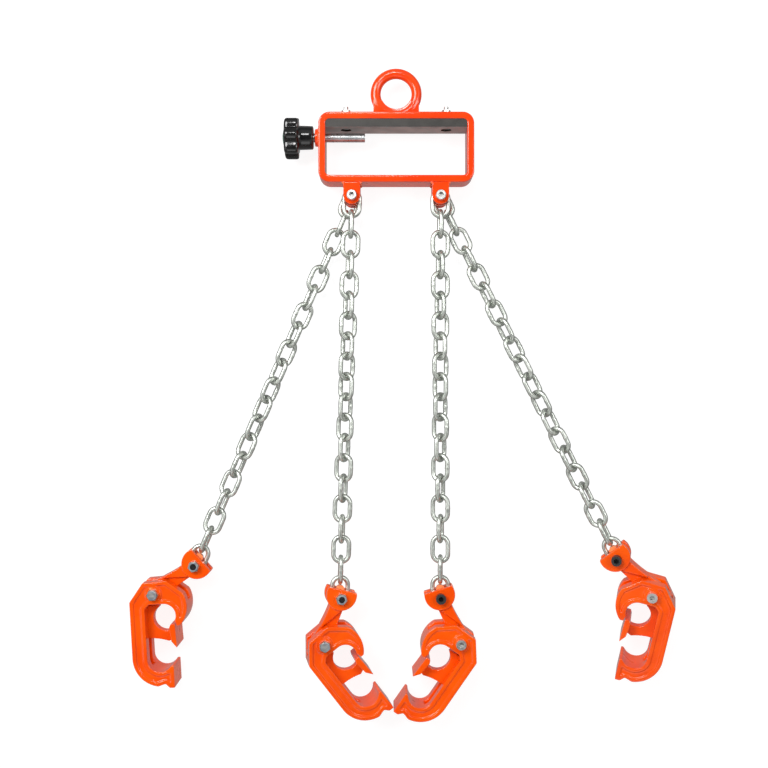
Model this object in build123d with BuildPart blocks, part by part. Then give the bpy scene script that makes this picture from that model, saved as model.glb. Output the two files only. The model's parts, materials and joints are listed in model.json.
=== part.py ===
from build123d import *
import os
from math import cos, pi, radians, sin, sqrt

os.makedirs("parts", exist_ok=True)

# Four leg drum sling with a fork sleeve. Millimetres.
# The origin is the centre of the lifting eye. The sling lies flat: +Y runs from the clamps to the eye,
# +X to the right, and +Z up from the ground, along every bolt.

# ---- fork sleeve and what is welded to it
SLEEVE_WIDTH = 200.0
SLEEVE_HEIGHT = 90.0
SLEEVE_DEPTH = 40.0
SLEEVE_WALL = 9.0
SLEEVE_CORNER = 14.5
SLEEVE_INNER_CORNER = 5.0
EYE_HOLE_RADIUS = 20.0
EYE_BAR_RADIUS = 6.6
EYE_RISE = 27.0                      # eye centre above the sleeve's top face
EYE_FOOT_WIDTH = 59.0                # forged foot that fills the ring out to the sleeve
EYE_FOOT_HEIGHT = 18.0
EYE_FOOT_HALF_THICKNESS = 5.5
SLEEVE_TOP = -EYE_RISE
SLEEVE_MIDDLE = SLEEVE_TOP - SLEEVE_HEIGHT / 2
SLEEVE_BOTTOM = SLEEVE_TOP - SLEEVE_HEIGHT

# ---- lugs under the sleeve: three plates with two slots, one for each of two legs
LUG_SPACING = 114.0
LUG_WIDTH = 21.5
LUG_BOLT_DROP = 17.6                 # bolt centre below the sleeve
LUG_SLOT = 8.0
LUG_FRONT_PLATE = 5.0
LUG_MIDDLE_PLATE = 9.0
LUG_REAR_PLATE = 5.0
LUG_Y = SLEEVE_BOTTOM - LUG_BOLT_DROP
FRONT_SLOT_Z = SLEEVE_DEPTH / 2 - LUG_FRONT_PLATE - LUG_SLOT / 2
REAR_SLOT_Z = FRONT_SLOT_Z - LUG_SLOT - LUG_MIDDLE_PLATE
LUG_REAR_FACE = REAR_SLOT_Z - LUG_SLOT / 2 - LUG_REAR_PLATE

# ---- M8 fasteners
BOLT_RADIUS = 4.0
BOLT_HEAD_RADIUS = 6.5
BOLT_HEAD_HEIGHT = 8.0
SOCKET_FLATS = 6.0
SOCKET_DEPTH = 4.5
NUT_FLATS = 13.0
NUT_HEX_HEIGHT = 6.3
NUT_HEIGHT = 8.0
NUT_COLLAR_RADIUS = 5.7
FIXED_CLEARANCE = 0.1                # bolt in the hole of a piece it does not move in
PIVOT_CLEARANCE = 0.05               # bolt in the hole of a piece that turns on it
EDGE_BREAK = 0.8

# ---- rubber pad and its screws
PAD_THICKNESS = 10.5
PAD_SCREW_SPACING = 130.0
PAD_SCREW_RADIUS = 3.0
PAD_SCREW_HEAD_RADIUS = 5.5
PAD_SCREW_HEAD_HEIGHT = 3.3
PAD_COUNTERBORE_RADIUS = 7.0
PAD_COUNTERBORE_DEPTH = 5.5
PAD_NUT_FLATS = 10.0
PAD_NUT_HEIGHT = 6.0
PAD_SCREW_END = 10.5                 # above the sleeve
GAP = 0.05                           # air between two pieces that touch

# ---- clamping screw
SCREW_Y = -56.5
STUD_RADIUS = 6.0
STUD_RUNNING = 0.08
STUD_TIP_X = -40.4
STUD_BACK_X = -140.0
BOSS_RADIUS = 11.3
BOSS_LENGTH = 5.0
HUB_RADIUS = 15.6
HUB_NECK_RADIUS = 15.0
HUB_START_X = -107.3
KNOB_FACE_X = -126.4
KNOB_THICKNESS = 18.3
KNOB_RADIUS = 27.5
KNOB_LOBES = 7
KNOB_LOBE_RADIUS = 6.0
KNOB_CORE_RADIUS = 21.0
KNOB_VALLEY = 3.0
KNOB_ROUNDING = 3.0
CAP_RADIUS = 13.0
CAP_SEAT = 1.5
CAP_RISE = 2.6

# ---- chain
CHAIN_BAR_RADIUS = 3.0
LINK_INNER_LENGTH = 26.5
LINK_HALF_WIDTH = 10.0               # to the middle of the bar
LINK_PLAY = 0.3                      # air where two links bear on one another
LINKS_PER_LEG = 20
LINK_PITCH = LINK_INNER_LENGTH - LINK_PLAY
LINK_STRAIGHT = LINK_INNER_LENGTH - 2 * (LINK_HALF_WIDTH - CHAIN_BAR_RADIUS)
LINK_WELD_RADIUS = 3.35
LINK_WELD_LENGTH = 3.4
BOLT_PLAY = 0.2                      # air between a bolt and the link that hangs on it
FIRST_LINK = LINK_INNER_LENGTH / 2 - BOLT_RADIUS - BOLT_PLAY
BOLT_TO_BOLT = (LINKS_PER_LEG - 1) * LINK_PITCH + 2 * FIRST_LINK
UPPER_RUN = range(1, 10)
LOWER_RUN = range(10, LINKS_PER_LEG - 1)

# ---- clamp body, seen with its mouth towards +X and its pivot at the origin
BODY_HALF_WIDTH = 23.5
WEB_HALF_WIDTH = 21.5                # inside the raised rim
RIM_WIDTH = 5.0
RIM_BOSS_RADIUS = 10.5               # the rim's height again, round the pivot bolt
BACK_X = -31.0
BACK_LOW_Y = -80.0
BACK_HIGH_Y = -9.0
CREST_BACK_X = -13.0
CREST_BACK_Y = 15.0
CREST_FRONT_X = 17.0
CREST_FRONT_Y = 16.0
BROW_X = 38.0
BROW_Y = -1.0
NOSE_X = 41.8
NOSE_Y = -20.0
TIP_X = 32.0
TIP_Y = -41.4
LOWER_BACK_X = -21.5                 # on the outside of the lower bend
LOWER_BACK_Y = -105.5
SOLE_Y = -117.5
SOLE_NOTCH_X = 9.5
SOLE_NOTCH_Y = -114.6
JAW_HEEL_X = 14.5
JAW_FACE_X = 21.0
JAW_TOP_X = 17.0
JAW_TOP_Y = -91.8
JAW_FOOT_Y = -120.0

# ---- openings in the clamp body
BEND_Y = -83.5                       # centre of the lower bend
BEND_X = 4.0
BEND_RADIUS = 16.0
EYELET_X = 12.0                      # the round opening under the arch
EYELET_Y = -28.0
EYELET_RADIUS = 15.0
THROAT_X = -12.0
THROAT_TOP_Y = -13.0
THROAT_CORNER = 5.5
LIP_X = 27.6                         # inner edge of the arch's tip
LIP_RUN_X = 25.5
LIP_RUN_Y = -34.5
SLOT_HALF_WIDTH = 7.0
SLOT_BACK_X = -25.5
SLOT_FOOT_X = -18.0
SLOT_FOOT_Y = -94.0
SLOT_CORNER = 10.0
TIP_WALL_X = 31.0
TIP_WALL_TOP_Y = -12.0
SLOT_REACH = 60.0                    # past the body's outline

# ---- lever, with its own X axis from the pivot to the head bolt
LEVER_LENGTH = 61.0
LEVER_ANGLE = 59.0                   # from the body's upright at rest, towards the mouth
LEVER_HALF_THICKNESS = 6.4
LEVER_HUB_RADIUS = 13.0
ARM_LOWER = 9.0
ARM_UPPER = 10.0
ARM_WAIST_X = 25.0
ARM_WAIST = 10.5
ARM_SHOULDER = 15.2                  # over the pivot
CAM_ANGLE = 151.0
CAM_LENGTH = 20.0
CAM_RADIUS = 4.0
WEB_HALF_THICKNESS = 10.0            # thick web that lies over the open clamp's crest
WEB_X = 10.4
WEB_Y = 17.5
HEAD_TURN = 7.5                      # of the flat, towards the body's upright
HEAD_HALF_THICKNESS = 13.0
HEAD_ARC_RADIUS = 19.7
HEAD_ARC_RISE = 4.2
HEAD_FLAT = 11.0
HEAD_SLOT_HALF_WIDTH = 4.25
HEAD_POCKET_RADIUS = 13.8
HEAD_SHOULDER = -6.0
KEEPER_HALF_WIDTH = 5.5
KEEPER_TOP = 15.5
KEEPER_FOOT = -1.0
KEEPER_HALF_THICKNESS = 3.7

# ---- sliding jaw: a plate in the body's slot and a wedge across the mouth
PLATE_HALF_THICKNESS = 6.6
PLATE_BACK_X = -25.0
PLATE_TOP_Y = -6.2
PLATE_STEP_X = -12.8
PLATE_STEP_Y = -17.0
PLATE_NECK_X = 2.0
PLATE_FRONT_X = 19.0
PLATE_FRONT_Y = -44.0
PLATE_HEEL_X = 13.7
PLATE_HEEL_Y = -64.0
PLATE_SOLE_X = -13.5
PLATE_SOLE_Y = -59.4
PLATE_SOLE_SAG = 1.3
NOTCH_X = 11.7
NOTCH_Y = -33.8
NOTCH_RADIUS = 16.5
WEDGE_BACK_X = 17.8
WEDGE_FACE_TOP_X = 25.5
WEDGE_FACE_X = 26.6
WEDGE_WAIST_X = 19.8
WEDGE_WAIST_Y = -61.0
WEDGE_TOP_Y = -39.2
WEDGE_TOP_SLOPE = 4.4
WEDGE_FOOT_Y = -69.6

# ---- where the clamps lie: bolt heads and the knob rest on the same ground
LOBE_REACH = KNOB_RADIUS - KNOB_LOBE_RADIUS
GROUND_Z = -(LOBE_REACH * cos(pi / KNOB_LOBES) + KNOB_LOBE_RADIUS)
CLAMP_Z = GROUND_Z + BODY_HALF_WIDTH + BOLT_HEAD_HEIGHT

# name: side, slot, splay of the leg, turn of the clamp body away from upright,
# roll of the clamp about the chain towards +X, height of the head bolt above where it would lie flat
LEGS = {
    "outer_left": (-1, REAR_SLOT_Z, 23.05, 3.3, 0.0, 0.0),
    "inner_left": (-1, FRONT_SLOT_Z, 1.75, 37.2, 10.0, 4.0),
    "inner_right": (1, FRONT_SLOT_Z, 0.0, 34.8, 0.0, 0.0),
    "outer_right": (1, REAR_SLOT_Z, 26.05, 12.6, -17.0, 11.4),
}


def finish(builder, label):
    """Name a finished piece and write it out."""
    builder.part.label = label
    export_step(builder.part, f"parts/{label}.step")


# ======================================================================= frame
with BuildPart() as fork_sleeve:
    with BuildSketch() as ring:
        with Locations((0, SLEEVE_MIDDLE)):
            RectangleRounded(SLEEVE_WIDTH, SLEEVE_HEIGHT, SLEEVE_CORNER)
            RectangleRounded(
                SLEEVE_WIDTH - 2 * SLEEVE_WALL, SLEEVE_HEIGHT - 2 * SLEEVE_WALL,
                SLEEVE_INNER_CORNER, mode=Mode.SUBTRACT)
    extrude(amount=SLEEVE_DEPTH / 2, both=True)
    chamfer(fork_sleeve.edges().group_by(Axis.Z)[0] + fork_sleeve.edges().group_by(Axis.Z)[-1],
            EDGE_BREAK)
    with BuildSketch(Plane.XZ.offset(-SLEEVE_TOP)) as pad_screw_holes:
        with GridLocations(PAD_SCREW_SPACING, 0, 2, 1):
            Circle(PAD_SCREW_RADIUS + FIXED_CLEARANCE)
    extrude(amount=SLEEVE_WALL, mode=Mode.SUBTRACT)
    with BuildSketch(Plane.YZ.offset(-SLEEVE_WIDTH / 2)) as stud_hole:
        with Locations((SCREW_Y, 0)):
            Circle(STUD_RADIUS + STUD_RUNNING)
    extrude(amount=SLEEVE_WALL, mode=Mode.SUBTRACT)
finish(fork_sleeve, "fork_sleeve")

with BuildPart() as lifting_eye:
    Torus(EYE_HOLE_RADIUS + EYE_BAR_RADIUS, EYE_BAR_RADIUS)
    with BuildSketch() as eye_foot:
        with Locations((0, SLEEVE_TOP)):
            Rectangle(EYE_FOOT_WIDTH, EYE_FOOT_HEIGHT, align=(Align.CENTER, Align.MIN))
        Circle(EYE_HOLE_RADIUS, mode=Mode.SUBTRACT)
    extrude(amount=EYE_FOOT_HALF_THICKNESS, both=True)
    # the foot is flat, where it is welded to the sleeve
    split(bisect_by=Plane.XZ.offset(-SLEEVE_TOP - GAP), keep=Keep.BOTTOM)
finish(lifting_eye, "lifting_eye")

with BuildPart() as suspension_lugs:
    with BuildSketch() as lug_face:
        with Locations((-LUG_SPACING / 2, 0), (LUG_SPACING / 2, 0)):
            with Locations((0, LUG_Y)):
                Circle(LUG_WIDTH / 2)
                Rectangle(LUG_WIDTH, LUG_BOLT_DROP - GAP, align=(Align.CENTER, Align.MIN))
                Circle(BOLT_RADIUS + FIXED_CLEARANCE, mode=Mode.SUBTRACT)
    extrude(amount=SLEEVE_DEPTH / 2)
    extrude(lug_face.sketch, amount=LUG_REAR_FACE)
    with BuildSketch(Plane.XY.offset(FRONT_SLOT_Z - LUG_SLOT / 2)) as front_slot:
        with Locations((0, LUG_Y)):
            Rectangle(2 * LUG_SPACING, 2 * LUG_SPACING)
    extrude(amount=LUG_SLOT, mode=Mode.SUBTRACT)
    with BuildSketch(Plane.XY.offset(REAR_SLOT_Z - LUG_SLOT / 2)) as rear_slot:
        with Locations((0, LUG_Y)):
            Rectangle(2 * LUG_SPACING, 2 * LUG_SPACING)
    extrude(amount=LUG_SLOT, mode=Mode.SUBTRACT)
finish(suspension_lugs, "suspension_lugs")

with BuildPart() as screw_boss:
    with BuildSketch(Plane.YZ.offset(-SLEEVE_WIDTH / 2 - GAP)) as boss_face:
        with Locations((SCREW_Y, 0)):
            Circle(BOSS_RADIUS)
            Circle(STUD_RADIUS + STUD_RUNNING, mode=Mode.SUBTRACT)
    extrude(amount=-BOSS_LENGTH)
    chamfer(screw_boss.faces().sort_by(Axis.X)[0].outer_wire().edges(), EDGE_BREAK)
finish(screw_boss, "screw_boss")

with BuildPart() as rubber_pad:
    pad_width = SLEEVE_WIDTH - 2 * SLEEVE_WALL - 2 * GAP
    with BuildSketch() as pad_face:
        with Locations((0, SLEEVE_TOP - SLEEVE_WALL - GAP)):
            Rectangle(pad_width, PAD_THICKNESS, align=(Align.CENTER, Align.MAX))
        fillet(pad_face.vertices().group_by(Axis.Y)[-1], SLEEVE_INNER_CORNER + GAP)
    extrude(amount=SLEEVE_DEPTH / 2 - EDGE_BREAK, both=True)
    with BuildSketch(Plane.XZ.offset(-SLEEVE_TOP + SLEEVE_WALL)) as pad_holes:
        with GridLocations(PAD_SCREW_SPACING, 0, 2, 1):
            Circle(PAD_SCREW_RADIUS + FIXED_CLEARANCE)
    extrude(amount=PAD_THICKNESS + SLEEVE_WALL, mode=Mode.SUBTRACT)
    with BuildSketch(Plane.XZ.offset(-SLEEVE_TOP + SLEEVE_WALL + PAD_THICKNESS + GAP)) as counterbores:
        with GridLocations(PAD_SCREW_SPACING, 0, 2, 1):
            Circle(PAD_COUNTERBORE_RADIUS)
    extrude(amount=-PAD_COUNTERBORE_DEPTH, mode=Mode.SUBTRACT)
finish(rubber_pad, "rubber_pad")

# the screw heads sit on the counterbores' floors, the threads end above the sleeve
PAD_SEAT = SLEEVE_TOP - SLEEVE_WALL - PAD_THICKNESS - GAP + PAD_COUNTERBORE_DEPTH
with BuildPart() as pad_screws:
    with BuildSketch(Plane.XZ.offset(-PAD_SEAT + GAP)) as screw_heads:
        with GridLocations(PAD_SCREW_SPACING, 0, 2, 1):
            Circle(PAD_SCREW_HEAD_RADIUS)
            RegularPolygon(PAD_SCREW_RADIUS - 1, 6, mode=Mode.SUBTRACT)
    extrude(amount=PAD_SCREW_HEAD_HEIGHT)
    with BuildSketch(Plane.XZ.offset(-PAD_SEAT + GAP + 1)) as screw_shanks:
        with GridLocations(PAD_SCREW_SPACING, 0, 2, 1):
            Circle(PAD_SCREW_RADIUS)
    extrude(amount=PAD_SEAT - SLEEVE_TOP - PAD_SCREW_END - 1)
finish(pad_screws, "pad_screws")

with BuildPart() as pad_nuts:
    with BuildSketch(Plane.XZ.offset(-SLEEVE_TOP - GAP)) as nut_face:
        with GridLocations(PAD_SCREW_SPACING, 0, 2, 1):
            RegularPolygon(PAD_NUT_FLATS / 2, 6, major_radius=False)
            Circle(PAD_SCREW_RADIUS + FIXED_CLEARANCE, mode=Mode.SUBTRACT)
    extrude(amount=-PAD_NUT_HEIGHT)
finish(pad_nuts, "pad_nuts")

with BuildPart() as lug_bolts:
    with BuildSketch(Plane.XY.offset(SLEEVE_DEPTH / 2 + GAP)) as lug_heads:
        with Locations((-LUG_SPACING / 2, LUG_Y), (LUG_SPACING / 2, LUG_Y)):
            Circle(BOLT_HEAD_RADIUS)
    extrude(amount=BOLT_HEAD_HEIGHT)
    chamfer(lug_bolts.edges().group_by(Axis.Z)[-1], EDGE_BREAK)
    with BuildSketch(Plane.XY.offset(SLEEVE_DEPTH / 2 + GAP + BOLT_HEAD_HEIGHT)) as lug_sockets:
        with Locations((-LUG_SPACING / 2, LUG_Y), (LUG_SPACING / 2, LUG_Y)):
            RegularPolygon(SOCKET_FLATS / 2, 6, major_radius=False)
    extrude(amount=-SOCKET_DEPTH, mode=Mode.SUBTRACT)
    with BuildSketch(Plane.XY.offset(SLEEVE_DEPTH / 2 + GAP)) as lug_shanks:
        with Locations((-LUG_SPACING / 2, LUG_Y), (LUG_SPACING / 2, LUG_Y)):
            Circle(BOLT_RADIUS)
    extrude(amount=LUG_REAR_FACE - NUT_HEIGHT - SLEEVE_DEPTH / 2)
finish(lug_bolts, "lug_bolts")

with BuildPart() as lug_nuts:
    for x in (-LUG_SPACING / 2, LUG_SPACING / 2):
        with BuildSketch(Plane.XY.offset(LUG_REAR_FACE - GAP)) as lug_hex:
            with Locations((x, LUG_Y)):
                RegularPolygon(NUT_FLATS / 2, 6, major_radius=False)
                Circle(BOLT_RADIUS + FIXED_CLEARANCE, mode=Mode.SUBTRACT)
        extrude(amount=-NUT_HEX_HEIGHT)
        with BuildSketch(Plane.XY.offset(LUG_REAR_FACE - GAP)) as lug_collar:
            with Locations((x, LUG_Y)):
                Circle(NUT_COLLAR_RADIUS)
                Circle(BOLT_RADIUS + FIXED_CLEARANCE, mode=Mode.SUBTRACT)
        extrude(amount=-NUT_HEIGHT + GAP)
finish(lug_nuts, "lug_nuts")

# ============================================================== clamping screw
screw_axis_origin = (0, SCREW_Y, 0)
with BuildPart() as clamp_stud:
    with BuildSketch(Plane.YZ.offset(STUD_BACK_X)) as stud_section:
        with Locations((SCREW_Y, 0)):
            Circle(STUD_RADIUS)
    extrude(amount=STUD_TIP_X - STUD_BACK_X)
    chamfer(clamp_stud.edges().sort_by(Axis.X)[-1], EDGE_BREAK)
finish(clamp_stud, "clamp_stud")

KNOB_OUTER_X = KNOB_FACE_X - KNOB_THICKNESS
with BuildPart() as star_knob:
    with BuildSketch(Plane.YZ.offset(KNOB_FACE_X)) as star:
        with Locations((SCREW_Y, 0)):
            Circle(KNOB_CORE_RADIUS)
            with PolarLocations(LOBE_REACH, KNOB_LOBES, start_angle=-90 + 180 / KNOB_LOBES):
                Circle(KNOB_LOBE_RADIUS)
        fillet(star.vertices(), KNOB_VALLEY)
    extrude(amount=-KNOB_THICKNESS)
    rim = star_knob.faces().filter_by(Axis.X)
    fillet(rim.sort_by(Axis.X)[0].edges() + rim.sort_by(Axis.X)[-1].edges(), KNOB_ROUNDING)
    with BuildSketch(Plane.XY) as hub_half:
        with BuildLine() as hub_outline:
            Polyline(
                (KNOB_FACE_X - KNOB_ROUNDING, SCREW_Y),
                (KNOB_FACE_X - KNOB_ROUNDING, SCREW_Y + HUB_RADIUS),
                (KNOB_FACE_X + KNOB_ROUNDING, SCREW_Y + HUB_RADIUS), (HUB_START_X, SCREW_Y + HUB_NECK_RADIUS),
                (HUB_START_X, SCREW_Y), close=True)
        make_face()
    revolve(axis=Axis(screw_axis_origin, (1, 0, 0)))
    with BuildSketch(Plane.YZ.offset(HUB_START_X)) as stud_socket:
        with Locations((SCREW_Y, 0)):
            Circle(STUD_RADIUS + PIVOT_CLEARANCE)
    extrude(amount=STUD_BACK_X - HUB_START_X - LINK_PLAY, mode=Mode.SUBTRACT)
    with BuildSketch(Plane.YZ.offset(KNOB_OUTER_X)) as cap_seat:
        with Locations((SCREW_Y, 0)):
            Circle(CAP_RADIUS + GAP)
    extrude(amount=CAP_SEAT, mode=Mode.SUBTRACT)
finish(star_knob, "star_knob")

with BuildPart() as knob_cap:
    with BuildSketch(Plane.XY) as cap_half:
        with BuildLine() as cap_outline:
            seat_x = KNOB_OUTER_X + CAP_SEAT - GAP
            Line((seat_x, SCREW_Y), (seat_x, SCREW_Y + CAP_RADIUS))
            Line((seat_x, SCREW_Y + CAP_RADIUS), (KNOB_OUTER_X, SCREW_Y + CAP_RADIUS))
            dome_radius = (CAP_RADIUS ** 2 + CAP_RISE ** 2) / (2 * CAP_RISE)
            RadiusArc((KNOB_OUTER_X, SCREW_Y + CAP_RADIUS), (KNOB_OUTER_X - CAP_RISE, SCREW_Y),
                      -dome_radius)
            Line((KNOB_OUTER_X - CAP_RISE, SCREW_Y), (seat_x, SCREW_Y))
        make_face()
    revolve(axis=Axis(screw_axis_origin, (1, 0, 0)))
finish(knob_cap, "knob_cap")

# ================================================================== chain link
with BuildPart() as link:
    with BuildSketch(Plane.XZ) as link_sides:
        with GridLocations(2 * LINK_HALF_WIDTH, 0, 2, 1):
            Circle(CHAIN_BAR_RADIUS)
    extrude(amount=LINK_STRAIGHT / 2, both=True)
    for end in (-1, 1):
        with BuildSketch(Plane.XZ.offset(-end * LINK_STRAIGHT / 2)) as crown_section:
            with Locations((LINK_HALF_WIDTH, 0)):
                Circle(CHAIN_BAR_RADIUS)
        revolve(axis=Axis((0, end * LINK_STRAIGHT / 2, 0), (0, 0, end)), revolution_arc=180)
    with BuildSketch(Plane.XZ) as link_weld:
        with Locations((LINK_HALF_WIDTH, 0)):
            Circle(LINK_WELD_RADIUS)
    extrude(amount=LINK_WELD_LENGTH / 2, both=True)

# ======================================================================== legs
for leg, (side, slot_z, splay, turn, roll, lift) in LEGS.items():
    # chain frame: origin on the lug bolt, Y up the chain; the links turn a little more than a quarter
    # each, so that the last one lies in the clamp's plane
    head_z = CLAMP_Z + lift
    reach = sqrt(BOLT_TO_BOLT ** 2 - (head_z - slot_z) ** 2)
    lug_point = Vector(side * LUG_SPACING / 2, LUG_Y, slot_z)
    head_point = Vector(lug_point.X + side * reach * sin(radians(splay)),
                        LUG_Y - reach * cos(radians(splay)), head_z)
    up_chain = (lug_point - head_point).normalized()
    across = up_chain.cross(Vector(0, 0, 1)).normalized()
    chain_plane = Plane(origin=lug_point, x_dir=across, z_dir=across.cross(up_chain))
    link_turn = 90 + (90 + roll) / (LINKS_PER_LEG - 1)
    link_spots = [
        chain_plane.location * Location((0, -FIRST_LINK - i * LINK_PITCH, 0), (0, i * link_turn, 0))
        for i in range(LINKS_PER_LEG)]

    with BuildPart() as top_link:
        with Locations(link_spots[0]):
            add(link.part)
    finish(top_link, f"{leg}_top_link")

    with BuildPart() as chain_upper:
        with Locations(*[link_spots[i] for i in UPPER_RUN]):
            add(link.part)
    finish(chain_upper, f"{leg}_chain_upper")

    with BuildPart() as chain_lower:
        with Locations(*[link_spots[i] for i in LOWER_RUN]):
            add(link.part)
    finish(chain_lower, f"{leg}_chain_lower")

    with BuildPart() as end_link:
        with Locations(link_spots[-1]):
            add(link.part)
    finish(end_link, f"{leg}_end_link")

    # clamp frame: origin on the pivot, X towards the mouth, bolt heads on its -Z side
    roll_axis = Axis((0, 0, 0), up_chain)
    lever_lean = radians(LEVER_ANGLE - turn)
    to_pivot = Vector(side * sin(lever_lean), -cos(lever_lean), 0).rotate(roll_axis, roll)
    pivot_point = head_point + to_pivot * LEVER_LENGTH
    mouthwards = Vector(-side * cos(radians(turn)), sin(radians(turn)), 0).rotate(roll_axis, roll)
    nutwards = Vector(0, 0, -side).rotate(roll_axis, roll)
    clamp_plane = Plane(origin=pivot_point, x_dir=mouthwards, z_dir=nutwards)
    lever_plane = Plane(clamp_plane.location * Location((0, 0, 0), (0, 0, 90 - LEVER_ANGLE)))
    head_plane = Plane(lever_plane.location * Location((LEVER_LENGTH, 0, 0), (0, 0, HEAD_TURN - 90)))
    keeper_plane = Plane(origin=head_point, x_dir=across.rotate(roll_axis, roll),
                         z_dir=Vector(0, 0, 1).rotate(roll_axis, roll))

    with BuildPart() as clamp_body:
        with BuildSketch(clamp_plane) as body_face:
            with BuildLine() as body_outline:
                Polyline((JAW_FACE_X, JAW_TOP_Y), (JAW_FACE_X, JAW_FOOT_Y), (JAW_HEEL_X, JAW_FOOT_Y),
                         (SOLE_NOTCH_X, SOLE_NOTCH_Y), (0, SOLE_Y))
                ThreePointArc((0, SOLE_Y), (LOWER_BACK_X, LOWER_BACK_Y), (BACK_X, BACK_LOW_Y))
                Polyline((BACK_X, BACK_LOW_Y), (BACK_X, BACK_HIGH_Y), (CREST_BACK_X, CREST_BACK_Y),
                         (CREST_FRONT_X, CREST_FRONT_Y), (BROW_X, BROW_Y))
                ThreePointArc((BROW_X, BROW_Y), (NOSE_X, NOSE_Y), (TIP_X, TIP_Y))
                Polyline((TIP_X, TIP_Y), (JAW_FACE_X, TIP_Y), (JAW_FACE_X, JAW_TOP_Y))
            make_face()
            with Locations((EYELET_X, EYELET_Y)):
                Circle(EYELET_RADIUS, mode=Mode.SUBTRACT)
            with Locations((BEND_X, BEND_Y)):
                Circle(BEND_RADIUS, mode=Mode.SUBTRACT)
            with BuildLine() as mouth_outline:
                Polyline((EYELET_X, THROAT_TOP_Y), (THROAT_X + THROAT_CORNER, THROAT_TOP_Y),
                         (THROAT_X, THROAT_TOP_Y - THROAT_CORNER), (THROAT_X, BEND_Y), (BEND_X, BEND_Y),
                         (JAW_TOP_X, JAW_TOP_Y), (SLOT_REACH, JAW_TOP_Y), (SLOT_REACH, TIP_Y),
                         (LIP_X, TIP_Y), (LIP_RUN_X, LIP_RUN_Y), (EYELET_X, EYELET_Y), close=True)
            make_face(mode=Mode.SUBTRACT)
        extrude(amount=BODY_HALF_WIDTH, both=True)
        # both sides are hollowed a little, inside a rim and round a boss for the bolt
        for z in (-BODY_HALF_WIDTH, BODY_HALF_WIDTH):
            with BuildSketch(clamp_plane.offset(z)) as recess:
                add(body_face.sketch_local)
                offset(amount=-RIM_WIDTH, mode=Mode.REPLACE)
                Circle(RIM_BOSS_RADIUS, mode=Mode.SUBTRACT)
            extrude(amount=-(BODY_HALF_WIDTH - WEB_HALF_WIDTH) * z / BODY_HALF_WIDTH, mode=Mode.SUBTRACT)
        with BuildSketch(clamp_plane) as lever_slot:
            with BuildLine() as slot_outline:
                Polyline((SLOT_BACK_X, SLOT_REACH), (SLOT_BACK_X, SLOT_FOOT_Y + SLOT_CORNER),
                         (SLOT_FOOT_X, SLOT_FOOT_Y), (BEND_X, SLOT_FOOT_Y), (TIP_WALL_X, TIP_Y),
                         (TIP_WALL_X, TIP_WALL_TOP_Y), (SLOT_REACH, TIP_WALL_TOP_Y),
                         (SLOT_REACH, SLOT_REACH), close=True)
            make_face()
        extrude(amount=SLOT_HALF_WIDTH, both=True, mode=Mode.SUBTRACT)
        with BuildSketch(clamp_plane) as pivot_hole:
            Circle(BOLT_RADIUS + FIXED_CLEARANCE)
        extrude(amount=BODY_HALF_WIDTH, both=True, mode=Mode.SUBTRACT)
    finish(clamp_body, f"{leg}_clamp_body")

    with BuildPart() as lever:
        with BuildSketch(lever_plane) as arm_face:
            Circle(LEVER_HUB_RADIUS)
            with BuildLine() as arm_outline:
                ThreePointArc((LEVER_LENGTH, ARM_UPPER), (ARM_WAIST_X, ARM_WAIST), (0, ARM_SHOULDER))
                Polyline((0, ARM_SHOULDER), (-ARM_SHOULDER, ARM_SHOULDER - CAM_RADIUS / 2), (0, 0),
                         (0, -ARM_LOWER), (LEVER_LENGTH, -ARM_LOWER), (LEVER_LENGTH, ARM_UPPER))
            make_face()
            with Locations(Location((0, 0, 0), CAM_ANGLE)):
                with Locations((CAM_LENGTH / 2, 0)):
                    Rectangle(CAM_LENGTH, 2 * CAM_RADIUS)
                with Locations((CAM_LENGTH, 0)):
                    Circle(CAM_RADIUS)
        extrude(amount=LEVER_HALF_THICKNESS, both=True)
        with BuildSketch(clamp_plane) as web_face:
            add(arm_face.sketch_local, rotation=90 - LEVER_ANGLE)
            with Locations((WEB_X, WEB_Y)):
                Rectangle(LEVER_LENGTH, LEVER_LENGTH, align=(Align.MIN, Align.MIN), mode=Mode.INTERSECT)
        extrude(amount=WEB_HALF_THICKNESS, both=True)
        with BuildSketch(head_plane) as head_face:
            with Locations((0, HEAD_ARC_RISE)):
                Circle(HEAD_ARC_RADIUS)
            with Locations((0, HEAD_FLAT)):
                Rectangle(4 * HEAD_ARC_RADIUS, 2 * HEAD_ARC_RADIUS, align=(Align.CENTER, Align.MIN),
                          mode=Mode.SUBTRACT)
        extrude(amount=HEAD_HALF_THICKNESS, both=True)
        with BuildSketch(head_plane) as head_pocket:
            Circle(HEAD_POCKET_RADIUS)
            with Locations((0, HEAD_SHOULDER)):
                Rectangle(4 * HEAD_ARC_RADIUS, 2 * HEAD_ARC_RADIUS, align=(Align.CENTER, Align.MIN))
        extrude(amount=HEAD_SLOT_HALF_WIDTH, both=True, mode=Mode.SUBTRACT)
        with BuildSketch(head_plane) as head_hole:
            Circle(BOLT_RADIUS + FIXED_CLEARANCE)
        extrude(amount=HEAD_HALF_THICKNESS, both=True, mode=Mode.SUBTRACT)
        with BuildSketch(lever_plane) as hub_hole:
            Circle(BOLT_RADIUS + PIVOT_CLEARANCE)
        extrude(amount=LEVER_HALF_THICKNESS, both=True, mode=Mode.SUBTRACT)
    finish(lever, f"{leg}_lever")

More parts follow.
